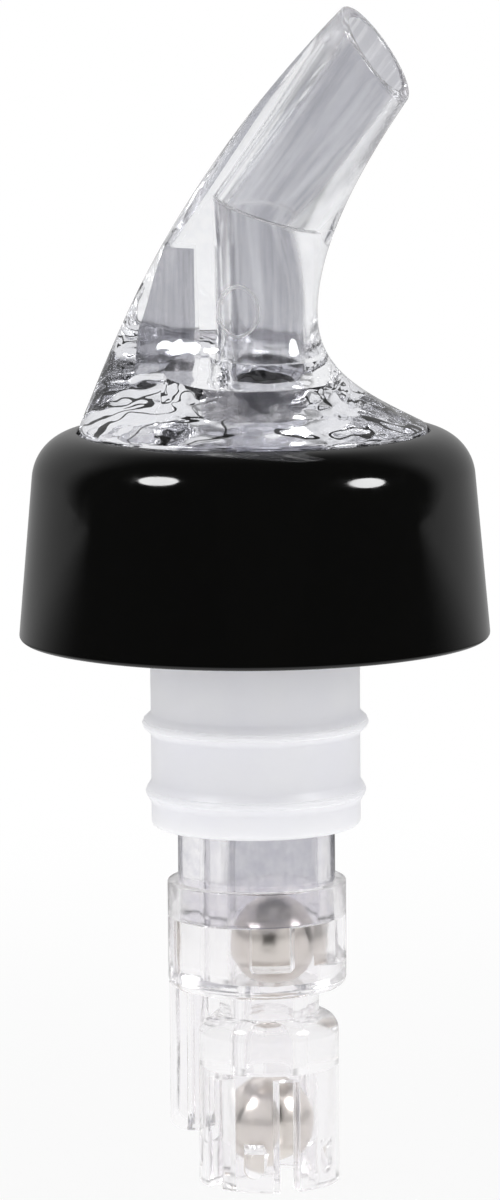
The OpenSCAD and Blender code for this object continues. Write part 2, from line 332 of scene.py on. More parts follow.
def clear_plastic(name, tint, pale, smooth, hazy, ripple, depth=0.03, spread=1.0, turn=0.0, painted_side_shade=0.0):
    """Clear SAN. Its tint, haze and ripple are drawn out along the way in which a core pin left the mould.

    A side share, when given, adds a painted shade across the part: paler and hazier towards −Y, darker and glossier
    towards +Y.
    """
    finish, tree, spot = new_finish(name)
    drawn = add(
        tree,
        "ShaderNodeMapping",
        {"Vector": spot, "Rotation": (0, math.radians(turn), 0), "Scale": (1, 1, spread)},
        vector_type="TEXTURE",
    ).outputs[0]
    waves = add(tree, "ShaderNodeTexNoise", {"Vector": drawn, "Scale": per_mm(ripple), "Detail": 1.0})
    # The flow waves are deep low down, where the plastic is thick, and fade toward the beak
    parts = add(tree, "ShaderNodeSeparateXYZ", {0: spot}).outputs
    calm = add(
        tree,
        "ShaderNodeMapRange",
        {
            "Value": parts["Z"],
            "From Min": WAVES_LOW * MM,
            "From Max": WAVES_HIGH * MM,
            "To Min": 1.0,
            "To Max": 0.15,
        },
    )
    bump = add(
        tree,
        "ShaderNodeBump",
        {"Height": waves.outputs["Fac"], "Strength": calm.outputs["Result"], "Distance": depth * MM},
    )
    haze = add(tree, "ShaderNodeTexNoise", {"Vector": drawn, "Scale": per_mm(0.9), "Detail": 3.0})
    share = add(tree, "ShaderNodeMapRange", {"Value": haze.outputs["Fac"], "From Min": 0.35, "From Max": 0.75})
    # Painted shade across the part: the colour turns paler and the finish hazier towards −Y, and darker and glossier
    # towards +Y, by the given share
    side = add(
        tree,
        "ShaderNodeMapRange",
        {"Value": parts["Y"], "From Min": -BORE_R * MM, "From Max": BORE_R * MM, "To Min": painted_side_shade, "To Max": -painted_side_shade},
    )
    share = add(
        tree, "ShaderNodeMath", {0: share.outputs["Result"], 1: side.outputs["Result"]}, operation="ADD", use_clamp=True
    ).outputs[0]
    colour = add(
        tree, "ShaderNodeMix", {"Factor": share, "A": linear(tint), "B": linear(pale)}, data_type="RGBA"
    )
    rough = add(tree, "ShaderNodeMapRange", {"Value": share, "To Min": smooth, "To Max": hazy})
    shader = add(
        tree,
        "ShaderNodeBsdfPrincipled",
        {
            "Base Color": colour.outputs[2],
            "Roughness": rough.outputs["Result"],
            "IOR": 1.57,
            "Transmission Weight": 1.0,
            "Normal": bump.outputs["Normal"],
        },
    )
    add(tree, "ShaderNodeOutputMaterial", {"Surface": shader.outputs["BSDF"]})
    return finish


def polished_san():
    """Clear SAN from a polished mould: water clear and glossy, with waves where the thick flare sank as it cooled."""
    return clear_plastic("SAN_clear_polished", "#F4F5F8", "#FCFCFD", 0.01, 0.04, ripple=2.6, depth=0.2)


def cored_san(name, turn, tint="#C8C8CE", pale="#D8D8DD", painted_side_shade=0.0):
    """The bores that a steel core pin leaves in clear SAN: satin, a little grey, with fine streaks along the pin. They
    can take a painted shade across them.
    """
    return clear_plastic(name, tint, pale, 0.08, 0.25, ripple=0.5, spread=14.0, turn=turn, painted_side_shade=painted_side_shade)


def hazy_san(name, tint):
    """Clear SAN from a plain mould, with a slight haze that scatters light."""
    return clear_plastic(name, tint, "#FDFCFC", 0.05, 0.14, ripple=1.6)


def satin_san():
    """Fine ridges, left by parts of the mould that can't be polished: satin, so that they catch the light."""
    return clear_plastic("SAN_ridge_satin", "#FAFAFC", "#FFFFFF", 0.4, 0.55, ripple=1.0)


def mirrored_san():
    """The flange's underside as it shows from above: the air under it turns light back up, in slow waves. Thin painted
    near-black lines stand for a reflection of the collar's black.
    """
    finish, tree, spot = new_finish("SAN_air_gap_mirror")
    waves = add(tree, "ShaderNodeTexNoise", {"Vector": spot, "Scale": per_mm(4.5), "Detail": 1.0})
    bump = add(tree, "ShaderNodeBump", {"Height": waves.outputs["Fac"], "Strength": 1.0, "Distance": 0.7 * MM})
    # Painted reflection: thin near-black lines along a noise's contours, standing for the collar's black seen in the
    # flange
    painted_line_noise = add(tree, "ShaderNodeTexNoise", {"Vector": spot, "Scale": per_mm(5.0), "Detail": 1.0, "Distortion": 0.6})
    painted_black_line = add(tree, "ShaderNodeMath", {0: painted_line_noise.outputs["Fac"], 1: 0.5, 2: 0.022}, operation="COMPARE")
    tint = add(
        tree,
        "ShaderNodeMix",
        {"Factor": painted_black_line.outputs[0], "A": linear("#F6F6F8"), "B": linear("#101012")},
        data_type="RGBA",
    )
    shader = add(
        tree,
        "ShaderNodeBsdfPrincipled",
        {
            "Base Color": tint.outputs[2],
            "Metallic": 1.0,
            "Roughness": 0.06,
            "Normal": bump.outputs["Normal"],
        },
    )
    add(tree, "ShaderNodeOutputMaterial", {"Surface": shader.outputs["BSDF"]})
    return finish


def glossy_abs():
    """Black ABS from a polished mould: a deep gloss with a slight ripple and a few dull handling marks."""
    finish, tree, spot = new_finish("ABS_black_gloss")
    ripple = add(tree, "ShaderNodeTexNoise", {"Vector": spot, "Scale": per_mm(3.0), "Detail": 2.0})
    bump = add(tree, "ShaderNodeBump", {"Height": ripple.outputs["Fac"], "Strength": 0.3, "Distance": 0.02 * MM})
    marks = add(tree, "ShaderNodeTexNoise", {"Vector": spot, "Scale": per_mm(1.5), "Detail": 4.0})
    rough = add(
        tree,
        "ShaderNodeMapRange",
        {"Value": marks.outputs["Fac"], "From Min": 0.4, "From Max": 0.8, "To Min": 0.06, "To Max": 0.14},
    )
    shader = add(
        tree,
        "ShaderNodeBsdfPrincipled",
        {
            "Base Color": linear("#070706"),
            "Roughness": rough.outputs["Result"],
            "IOR": 1.53,
            "Normal": bump.outputs["Normal"],
        },
    )
    add(tree, "ShaderNodeOutputMaterial", {"Surface": shader.outputs["BSDF"]})
    return finish


def milky_ldpe():
    """Natural LDPE from a satin mould: milky, so that light soaks in and spreads, with a soft waxy sheen."""
    finish, tree, spot = new_finish("LDPE_milky_satin")
    grain = add(tree, "ShaderNodeTexNoise", {"Vector": spot, "Scale": per_mm(0.35), "Detail": 3.0})
    bump = add(tree, "ShaderNodeBump", {"Height": grain.outputs["Fac"], "Strength": 0.25, "Distance": 0.03 * MM})
    cloud = add(tree, "ShaderNodeTexNoise", {"Vector": spot, "Scale": per_mm(6.0), "Detail": 2.0})
    tint = add(
        tree,
        "ShaderNodeMix",
        {"Factor": cloud.outputs["Fac"], "A": linear("#E8E8F3"), "B": linear("#F1F1FB")},
        data_type="RGBA",
    )
    shader = add(
        tree,
        "ShaderNodeBsdfPrincipled",
        {
            "Base Color": tint.outputs[2],
            "Roughness": 0.42,
            "IOR": 1.51,
            "Subsurface Weight": 1.0,
            "Subsurface Radius": (1.0, 1.0, 1.0),
            "Subsurface Scale": 5 * MM,
            "Normal": bump.outputs["Normal"],
        },
    )
    add(tree, "ShaderNodeOutputMaterial", {"Surface": shader.outputs["BSDF"]})
    return finish


def tumbled_steel():
    """Stainless steel balls, ground and tumbled to a soft sheen, with fine tumbling scratches."""
    finish, tree, spot = new_finish("stainless_steel_tumbled")
    scratches = add(tree, "ShaderNodeTexNoise", {"Vector": spot, "Scale": per_mm(0.5), "Detail": 5.0})
    rough = add(
        tree,
        "ShaderNodeMapRange",
        {"Value": scratches.outputs["Fac"], "From Min": 0.35, "From Max": 0.75, "To Min": 0.28, "To Max": 0.33},
    )
    shader = add(
        tree,
        "ShaderNodeBsdfPrincipled",
        {"Base Color": linear("#E6E0DA"), "Metallic": 1.0, "Roughness": rough.outputs["Result"]},
    )
    add(tree, "ShaderNodeOutputMaterial", {"Surface": shader.outputs["BSDF"]})
    return finish


# The clear spout

FLANGE_R = 15.3
RIM_Z, RIM_ROUND = 4.6, 0.25
RIDGE_R = 3.3
WAIST_R, WAIST_Z = 4.75, 14.5
BEND_Z = 23.5
BEAK_R, BEAK_LEN = 4.6, 17.5
POUR_ANGLE = 36.5
MOUTH_TILT = 19.5
CHANNEL_R = 3.65
MOUTH_R = 3.55
SEAT_Z = 10.1
LIP_ROUND = 0.3
# The fine ridge that is left where the two core pins met at the bend, and its half height
RIDGE_BORE_R, STEP_RISE = 3.38, 0.14
# Share of the back's curve that lies below the waist
WAIST_SHARE = 0.25
FLARE_RINGS, BEAK_RINGS = 22, 44
FRONT_POINTS, BACK_POINTS, SIDE_POINTS = 48, 36, 12
# Radius of the slight crown of the spout's sides, as a share of their length
CROWN = 2.2
# Places of finishes in the spout's list, after that of its polished outside
UPRIGHT_BORE, SLANTED_BORE, UNDERSIDE, FINE_RIDGE = 1, 2, 3, 4


def lean(angle):
    """A direction in the middle plane, as [forward, up], at an angle from upright in degrees."""
    return Vector((math.sin(math.radians(angle)), math.cos(math.radians(angle))))


def sweep(a, lean_a, share_a, b, lean_b, share_b):
    """A curve that leaves a at one lean and reaches b at another, with handles as shares of the span."""
    a, b = Vector(a), Vector(b)
    span = (b - a).length
    return a, a + span * share_a * lean(lean_a), b - span * share_b * lean(lean_b), b


def along(curve, t):
    """The point at a share t of a curve."""
    shares = ((1 - t) ** 3, 3 * t * (1 - t) ** 2, 3 * t * t * (1 - t), t**3)
    return sum((share * point for share, point in zip(shares, curve)), Vector((0, 0)))


BEND = Vector((BORE_X, BEND_Z))
MOUTH_MIDDLE = BEND + BEAK_LEN * lean(POUR_ANGLE)
MOUTH_HALF = BEAK_R / math.cos(math.radians(MOUTH_TILT)) * lean(POUR_ANGLE + MOUTH_TILT + 90)
WAIST = Vector((BORE_X + WAIST_R, WAIST_Z))
FLARE_CURVE = sweep((FLANGE_R, RIM_Z), -63.5, 0.46, WAIST, 0, 0.36)
THROAT_CURVE = sweep(WAIST, 0, 0.29, MOUTH_MIDDLE + MOUTH_HALF, 35.5, 0.355)
BACK_CURVE = sweep((-FLANGE_R, RIM_Z), 17.5, 0.28, MOUTH_MIDDLE - MOUTH_HALF, 45.5, 0.4)


def section(back, front, back_r, front_r):
    """The outline round a front circle and a back circle, joined by crowned sides that touch both."""
    forward = (front - back).normalized()
    gap = max((front - back).length - back_r - front_r, NEAR)
    side_r = CROWN * gap + max(back_r, front_r)
    # Middle of the far side's crown, seen from the middle of the back circle
    ahead = (gap**2 + (side_r - back_r) ** 2 - (side_r - front_r) ** 2) / (2 * gap)
    aside = math.sqrt((side_r - back_r) ** 2 - ahead**2)
    near, far = math.atan2(aside, gap - ahead), math.atan2(aside, -ahead)
    middle = back + forward * back_r
    arcs = [
        (gap, 0, front_r, -near, near, FRONT_POINTS),
        (ahead, -aside, side_r, near, far, SIDE_POINTS),
        (0, 0, back_r, far, FULL_TURN - far, BACK_POINTS),
        (ahead, aside, side_r, -far, -near, SIDE_POINTS),
    ]
    ring = []
    for offset, side, r, start, end, count in arcs:
        for i in range(count):
            angle = start + (end - start) * i / count
            flat = middle + forward * (offset + r * math.cos(angle))
            ring.append((flat.x, side + r * math.sin(angle), flat.y))
    return ring


def flare_section(t):
    """The outline at a share t of the way from the flange to the waist."""
    front = along(FLARE_CURVE, t)
    front_r = front.x - BORE_X * t
    back_r = front_r * (1 - (1 - RIDGE_R / WAIST_R) * t)
    return section(along(BACK_CURVE, WAIST_SHARE * t), front, back_r, front_r)


def beak_section(t):
    """The outline at a share t of the way from the waist to the mouth."""
    return section(
        along(BACK_CURVE, WAIST_SHARE + (1 - WAIST_SHARE) * t),
        along(THROAT_CURVE, t),
        RIDGE_R + (BEAK_R - RIDGE_R) * t * t,
        WAIST_R + (BEAK_R - WAIST_R) * t,
    )


def bore_ring(middle, lean_angle, tilt, r):
    """A ring of the pour channel, where a plane cuts it at a tilt from square. Positive tilts drop the front."""
    up, front = lean(lean_angle), lean(lean_angle + 90)
    ring = []
    for i in range(ROUND_STEPS):
        angle = FULL_TURN * i / ROUND_STEPS
        ahead = r * math.cos(angle)
        flat = middle + front * ahead - up * ahead * math.tan(math.radians(tilt))
        ring.append((flat.x, r * math.sin(angle), flat.y))
    return ring


def pour_channel():
    """The upright bore and the slanted one, mitred at the bend, with a rounded edge at the mouth."""
    up = lean(POUR_ANGLE)
    rings = [
        bore_ring(Vector((BORE_X, SEAT_Z - PAST)), 0, 0, CHANNEL_R),
        bore_ring(BEND - Vector((0, STEP_RISE)), 0, POUR_ANGLE / 2, CHANNEL_R),
        bore_ring(BEND, 0, POUR_ANGLE / 2, RIDGE_BORE_R),
        bore_ring(BEND + up * STEP_RISE, POUR_ANGLE, -POUR_ANGLE / 2, MOUTH_R),
    ]
    for angle in (0, 30, 60, 90):
        sink = LIP_ROUND * (1 - math.sin(math.radians(angle)))
        widen = LIP_ROUND * (1 - math.cos(math.radians(angle)))
        rings.append(bore_ring(MOUTH_MIDDLE - up * sink, POUR_ANGLE, MOUTH_TILT, MOUTH_R + widen))
    rings.append(bore_ring(MOUTH_MIDDLE + up * PAST, POUR_ANGLE, MOUTH_TILT, MOUTH_R + LIP_ROUND))
    return loft(rings)


VENT_X, VENT_TOP, VENT_TOP_BACK, POCKET_W = -4.3, 20.2, -7.2, 2.6
# Foot of the pocket's back wall, which follows the spout's back
VENT_FOOT_X, VENT_FOOT_Z = -9.6, 12.6
VENT_LEAN, VENT_WALL, VENT_T, VENT_W = 35.5, 0.5, 1.0, 2.2
OPEN_Z, LEDGE_Z = 33.4, 38.4


def upright_vent():
    """The flat pocket over the tube's breather bore."""
    low_z = TUBE_TOP - JOIN
    outline = [
        (VENT_X, low_z),
        (VENT_X, VENT_TOP),
        (VENT_TOP_BACK, VENT_TOP),
        (VENT_FOOT_X, VENT_FOOT_Z),
        (VENT_FOOT_X, low_z),
    ]
    return plate(outline, POCKET_W)


def slanted_vent():
    """The thin way from the pocket up the spout's back to the open slot under the tip."""
    corner = BEND + CHANNEL_R * Vector((-1, math.tan(math.radians(POUR_ANGLE / 2))))
    slope, thick = math.tan(math.radians(VENT_LEAN)), 1 / math.cos(math.radians(VENT_LEAN))
    low_z = VENT_TOP - JOIN

    def front(z):
        return corner.x - VENT_WALL * thick + (z - corner.y) * slope

    outline = [
        (front(low_z), low_z),
        (front(LEDGE_Z), LEDGE_Z),
        (-FLANGE_R, LEDGE_Z),
        (-FLANGE_R, OPEN_Z),
        (front(OPEN_Z) - VENT_T * thick, OPEN_Z),
        (VENT_TOP_BACK, low_z),
    ]
    return plate(outline, VENT_W)


# A plain raised ring that the mould leaves on the near side
MARK_X, MARK_Z, MARK_R, MARK_W, MARK_H = 0.15, 15.2, 2.4, 0.45, 0.25
MARK_SQUEEZE = 0.82


def mould_ring(body):
    """The raised ring, set on the side of the body that faces the photograph's camera."""
    spot, normal = BVHTree.FromBMesh(body).ray_cast((MARK_X, -FLANGE_R, MARK_Z), (0, 1, 0))[:2]
    profile = [
        (MARK_R - MARK_W, -JOIN),
        (MARK_R, -JOIN),
        (MARK_R - MARK_W / 4, MARK_H),
        (MARK_R - 0.75 * MARK_W, MARK_H),
    ]
    ring = lathe(profile, steps=SMALL_STEPS)
    lay = normal.to_track_quat("Z", "Y").to_matrix().to_4x4() @ Matrix.Diagonal((MARK_SQUEEZE, 1, 1, 1))
    bmesh.ops.transform(ring, matrix=Matrix.Translation(spot) @ lay, verts=ring.verts)
    return lined(ring, FINE_RIDGE)


def make_spout():
    """A lofted body with rounded edges, cut by the tube's socket, the valve seat, the channel and the vents."""
    bottom = Vector((FLANGE_R, FLANGE_Z + LIFT))
    rings = [section(Vector((-bottom.x, bottom.y)), bottom, FLANGE_R, FLANGE_R)]
    rings += [flare_section(k / FLARE_RINGS) for k in range(FLARE_RINGS)]
    rings += [beak_section(k / BEAK_RINGS) for k in range(BEAK_RINGS + 1)]
    body = loft(rings)
    for face in body.faces:
        if face.calc_center_median().z < FLANGE_Z + 2 * LIFT:
            face.material_index = UNDERSIDE
    mouth_up = lean(POUR_ANGLE + MOUTH_TILT)
    mouth_point = Vector((MOUTH_MIDDLE.x, 0, MOUTH_MIDDLE.y))
    mouth_normal = Vector((mouth_up.x, 0, mouth_up.y))
    rim = [e for e in body.edges if all(abs(v.co.z - RIM_Z) < NEAR for v in e.verts)]
    bmesh.ops.bevel(body, geom=rim, offset=RIM_ROUND, segments=3, profile=0.5, affect="EDGES", material=-1)
    tip = [e for e in body.edges if all(abs((v.co - mouth_point).dot(mouth_normal)) < NEAR for v in e.verts)]
    bmesh.ops.bevel(body, geom=tip, offset=LIP_ROUND, segments=4, profile=0.5, affect="EDGES", material=-1)
    body = joined(body, mould_ring(body))
    channel = pour_channel()
    mitre = lean(POUR_ANGLE / 2)
    for face in channel.faces:
        spot = face.calc_center_median()
        rise = (Vector((spot.x, spot.z)) - BEND).dot(mitre)
        if abs(rise) < STEP_RISE:
            face.material_index = FINE_RIDGE
        else:
            face.material_index = SLANTED_BORE if rise > 0 else UPRIGHT_BORE
    body = cut(
        body,
        rod(FIT_R, FLANGE_Z - PAST, TUBE_TOP),
        rod(BORE_R, TUBE_TOP - PAST, SEAT_Z, x=BORE_X),
        channel,
        lined(upright_vent(), UPRIGHT_BORE),
        slanted_vent(),
    )
    # The spout's bores run from a dark grey to near white across them, a painted shade: darker on the +Y side and paler
    # on the −Y side
    bores = [
        cored_san(name, turn, "#9A9AA1", "#F0F0F3", painted_side_shade=0.5)
        for name, turn in (("SAN_bore_upright", 0), ("SAN_bore_slanted", POUR_ANGLE))
    ]
    finishes = [polished_san(), *bores, mirrored_san(), satin_san()]
    place(body, "clear_spout", finishes, "clear_plastic", "spout")


# The black collar

COLLAR_R, COLLAR_TOP, COLLAR_BOTTOM = 20.75, 4.3, -14.0
COLLAR_DRAFT, SHOULDER_R, COLLAR_WALL = 5.0, 4.3, 1.7
RECESS_R, HEAD_T = 15.5, 1.8
# Rounding of the rim, and the width and height of the slope at the recess's edge
COLLAR_EDGE, RECESS_EDGE_W, RECESS_EDGE_H = 0.35, 0.1, 0.12
COLLAR_STEPS = 160


def make_collar():
    """A bell with a thin wall, a web on the stopper's head and a recess for the flange, turned in one piece."""
    tilt = math.radians(COLLAR_DRAFT)
    middle_z = COLLAR_TOP - SHOULDER_R
    middle_r = COLLAR_R - (SHOULDER_R + (middle_z - COLLAR_BOTTOM) * math.sin(tilt)) / math.cos(tilt)
    edge = COLLAR_EDGE
    inner = SHOULDER_R - COLLAR_WALL
    rim_in = COLLAR_R - COLLAR_WALL / math.cos(tilt)
    web_turn = math.degrees(math.asin((HEAD_T - middle_z) / inner))
    top_turn = math.degrees(math.acos((RECESS_R + RECESS_EDGE_W - middle_r) / SHOULDER_R))
    profile = arc(COLLAR_R - edge, COLLAR_BOTTOM + edge, edge, -90, COLLAR_DRAFT, 4)
    profile += arc(middle_r, middle_z, SHOULDER_R, COLLAR_DRAFT, top_turn, 20)
    profile += [
        (RECESS_R, COLLAR_TOP - RECESS_EDGE_H),
        (RECESS_R, FLANGE_Z),
        (FIT_R, FLANGE_Z),
        (FIT_R, HEAD_T),
    ]
    profile += arc(middle_r, middle_z, inner, web_turn, COLLAR_DRAFT, 8)
    profile += arc(rim_in + edge, COLLAR_BOTTOM + edge, edge, 180, 270, 4)
    place(lathe(profile, steps=COLLAR_STEPS), "black_collar", [glossy_abs()], "black_plastic", "collar")


# The milky stopper

STOPPER_R, STOPPER_END, HEAD_R = 9.25, -30.8, 12.5
# Height of each rib's middle, and how far the rib stands out
RIBS = ((-21.6, 0.75), (-27.7, 0.5))
RIB_ROOT, RIB_LAND = 1.8, 0.6
# Height and rise of the fillet at a rib's root, and where its flank ends below and beside the crest
FILLET_H, FILLET_RISE = 0.2, 0.04
FLANK_DROP, FLANK_SIDE = 0.12, 0.05
HEAD_ROUND, END_ROUND, BORE_EDGE = 0.3, 0.5, 0.15
STOPPER_STEPS = 128


def make_stopper():
    """A sleeve with a head inside the collar and two soft ribs, turned in one piece."""
    web = HEAD_T - LIFT
    profile = [
        (FIT_R, web),
        *arc(HEAD_R - HEAD_ROUND, web - HEAD_ROUND, HEAD_ROUND, 90, 0, 3),
        *arc(HEAD_R - HEAD_ROUND, HEAD_ROUND, HEAD_ROUND, 0, -90, 3),
        (STOPPER_R, 0),
    ]
    for z, height in RIBS:
        crest = STOPPER_R + height
        flank = [
            (STOPPER_R, RIB_ROOT / 2 + FILLET_H),
            (STOPPER_R + FILLET_RISE, RIB_ROOT / 2),
            (crest - FLANK_DROP, RIB_LAND / 2 + FLANK_SIDE),
        ]
        profile += [(r, z + rise) for r, rise in flank]
        profile += arc(crest - RIB_LAND / 2, z, RIB_LAND / 2, 60, -60, 6)
        profile += [(r, z - rise) for r, rise in reversed(flank)]
    profile += arc(STOPPER_R - END_ROUND, STOPPER_END + END_ROUND, END_ROUND, 0, -90, 5)
    profile += [(FIT_R + BORE_EDGE, STOPPER_END), (FIT_R, STOPPER_END + BORE_EDGE)]
    place(lathe(profile, steps=STOPPER_STEPS), "milky_stopper", [milky_ldpe()], "milky_plastic", "stopper")


# The clear metering tube

# Top of the reamed length at the bore's low end, which is clear
BORE_CLEAR_Z = -35.4
# Rounding of the tube's ends, with its steps
TUBE_EDGE = 0.2, 3
# Place of the bore's finish in the tube's list
TUBE_BORE = 1


def make_tube():
    """A rod with rounded ends, and the ball bore and the breather bore through it."""
    low, high = TUBE_END + LIFT, TUBE_TOP - LIFT
    body = cut(
        rounded_rod(TUBE_R, low, high, TUBE_EDGE, TUBE_EDGE),
        rod(BORE_R, low - PAST, BORE_CLEAR_Z, x=BORE_X),
        lined(rod(BORE_R, BORE_CLEAR_Z, high + PAST, x=BORE_X), TUBE_BORE),
        rod(BREATHER_R, low - PAST, high + PAST, x=BREATHER_X, steps=SMALL_STEPS),
    )
    finishes = [hazy_san("SAN_tube_extruded", "#E0DFE5"), cored_san("SAN_tube_bore", 0)]
    place(body, "clear_tube", finishes, "clear_plastic", "metering_tube")


# The clear ball cage

SLEEVE_R, SLEEVE_TOP, SLEEVE_BOTTOM = 7.9, -35.7, -45.3
CUP_FLOOR, PORT_R = -44.3, 2.2
NECK_R, SHOULDER_TOP, ROOF_Z = 4.5, -47.6, -52.6
CAGE_R, CAGE_BOTTOM = 6.25, -62.8
SLOT_W, SLOT_TURN, SLOT_TOP = 1.9, 56, -52.9
WINDOW_W, WINDOW_TURN, WINDOW_LOW, WINDOW_HIGH = 3.4, 71, -42.8, -38.8
SHROUD_R, SHROUD_W, SHROUD_BOTTOM, SHROUD_ROUND = 7.84, 4.8, -58.3, 2.0
CATCH_R, CATCH_Z, CATCH_RAMP, CATCH_TOE, CATCH_W = 3.22, -59.65, 2.1, 0.25, 1.6
# How far a catch runs on into its finger
CATCH_ROOT = 0.3
# Roundings, with their steps, of the cup's low edge, of the thin rims and of the pocket's shoulder
CUP_EDGE, RIM_EDGE, SHOULDER_EDGE = (1, 8), (0.15, 3), (CAGE_R - NECK_R, 10)


def cage_shroud():
    """The rounded bar down the back of the cage that carries the breather bore."""
    high = SLEEVE_BOTTOM + JOIN
    corner = arc(SHROUD_ROUND - SHROUD_R, SHROUD_BOTTOM + SHROUD_ROUND, SHROUD_ROUND, 180, 270, 10)
    bar = plate([(BORE_X, high), (-SHROUD_R, high), *corner, (BORE_X, SHROUD_BOTTOM)], SHROUD_W)
    return kept_inside(bar, rod(SHROUD_R, SHROUD_BOTTOM - PAST, high + PAST))


def cage_catches():
    """A catch with a round toe in the middle of each finger, which holds the release ball."""
    rise = BORE_R - CATCH_R
    ring = lathe(
        [
            (CATCH_R, CATCH_Z),
            (BORE_R + CATCH_ROOT, CATCH_Z + rise + CATCH_ROOT),
            (BORE_R + CATCH_ROOT, CATCH_Z - CATCH_RAMP),
            (BORE_R - CATCH_TOE, CATCH_Z - CATCH_RAMP),
        ],
        x=BORE_X,
    )
    toe_z, half = CATCH_Z - CATCH_RAMP + CATCH_W / 2, CATCH_W / 2
    toe = arc(0, toe_z, half, 180, 360, 12)
    outline = [*toe, (half, CATCH_Z + rise + PAST), (-half, CATCH_Z + rise + PAST)]
    bars = []
    for turn in (0, 90):
        bar = plate(outline, 2 * CAGE_R)
        bmesh.ops.rotate(bar, cent=(0, 0, 0), matrix=Matrix.Rotation(math.radians(turn), 3, "Z"), verts=bar.verts)
        bmesh.ops.translate(bar, vec=(BORE_X, 0, 0), verts=bar.verts)
        bars.append(bar)
    return kept_inside(ring, joined(*bars))


def make_cage():
    """A sleeve and cup, a neck, a slotted pocket and a breather shroud, joined and then bored."""
    sleeve = rounded_rod(SLEEVE_R, SLEEVE_BOTTOM, SLEEVE_TOP, CUP_EDGE, RIM_EDGE)
    pocket = rounded_rod(CAGE_R, CAGE_BOTTOM, SHOULDER_TOP, RIM_EDGE, SHOULDER_EDGE, x=BORE_X)
    neck = rod(NECK_R, SHOULDER_TOP - JOIN, SLEEVE_BOTTOM + JOIN, x=BORE_X)
    body = joined(sleeve, neck, pocket, cage_shroud())
    slots = [
        block((0, -SLOT_W / 2, CAGE_BOTTOM - PAST), (2 * CAGE_R, SLOT_W / 2, SLOT_TOP), turn, BORE_X)
        for turn in (SLOT_TURN, 180 - SLOT_TURN, 180 + SLOT_TURN, -SLOT_TURN)
    ]
    windows = [
        block((0, -WINDOW_W / 2, WINDOW_LOW), (2 * SLEEVE_R, WINDOW_W / 2, WINDOW_HIGH), turn, BORE_X)
        for turn in (-WINDOW_TURN, 0, WINDOW_TURN)
    ]
    body = cut(
        body,
        rod(FIT_R, TUBE_END, SLEEVE_TOP + PAST),
        rod(BREATHER_R, SHROUD_BOTTOM - PAST, TUBE_END + PAST, x=BREATHER_X, steps=SMALL_STEPS),
        rod(BORE_R, CUP_FLOOR, TUBE_END + PAST, x=BORE_X),
        rod(PORT_R, ROOF_Z - PAST, CUP_FLOOR + PAST, x=BORE_X),
        rod(BORE_R, CAGE_BOTTOM - PAST, ROOF_Z, x=BORE_X),
        *slots,
        *windows,
    )
    body = joined(body, cage_catches())
    place(body, "clear_cage", [hazy_san("SAN_cage_moulded", "#FAF9FB")], "clear_plastic", "ball_cage")


# The steel balls

# Heights of the balls' middles at rest, on the port's edge and on the catches
METERING_REST, RELEASE_REST = -40.916, -57.227


def make_ball(z, name, finish, node):
    """A ball in the bore, on its own body."""
    bm = bmesh.new()
    bmesh.ops.create_icosphere(bm, subdivisions=5, radius=BALL_R, matrix=Matrix.Translation((BORE_X, 0, z)))
    place(bm, name, [finish], "polished_steel", node, body=node)


# The white studio

FLOOR_Z = cad_box[0].z - LIFT * MM
FLOOR_R, FLOOR_STEPS = 3.0, 64
# How near and how far from the object the paper keeps its shadow
SHADOW_NEAR, SHADOW_FAR = 0.03, 0.2

# Levels of the room: what its sides and its ceiling give matt surfaces, and its dark and white sides in gloss
ROOM_SIDES, ROOM_CEILING, ROOM_DARK, ROOM_GLOSS = 1.2, 0.5, 0.045, 0.4
# Levels of its dark side through clear plastic, at the horizon and overhead
HAZE_LOW, HAZE_HIGH = 0.3, 0.9
# Level of the lit paper for matt surfaces, and its share near the object, where the rest is plain and takes a shadow
PAPER_FILL, PAPER_SHARE = 1.35, 0.91
# Each soft box's turn from the camera's side and its height, in degrees
SOFT_BOXES = {"soft_box_left": (-60, 41), "soft_box_right": (66, 30)}
BOX_REACH, BOX_SIZE, BOX_POWER = 0.7, 0.235, 2.3


def seen_rays(tree):
    """The Light Path node, and a value that is 1 for camera, gloss and clear rays and 0 for rays to matt surfaces."""
    path = add(tree, "ShaderNodeLightPath")
    seen = path.outputs["Is Camera Ray"]
    for other in ("Is Glossy Ray", "Is Transmission Ray"):
        seen = add(tree, "ShaderNodeMath", {0: seen, 1: path.outputs[other]}, operation="MAXIMUM").outputs[0]
    return path, seen


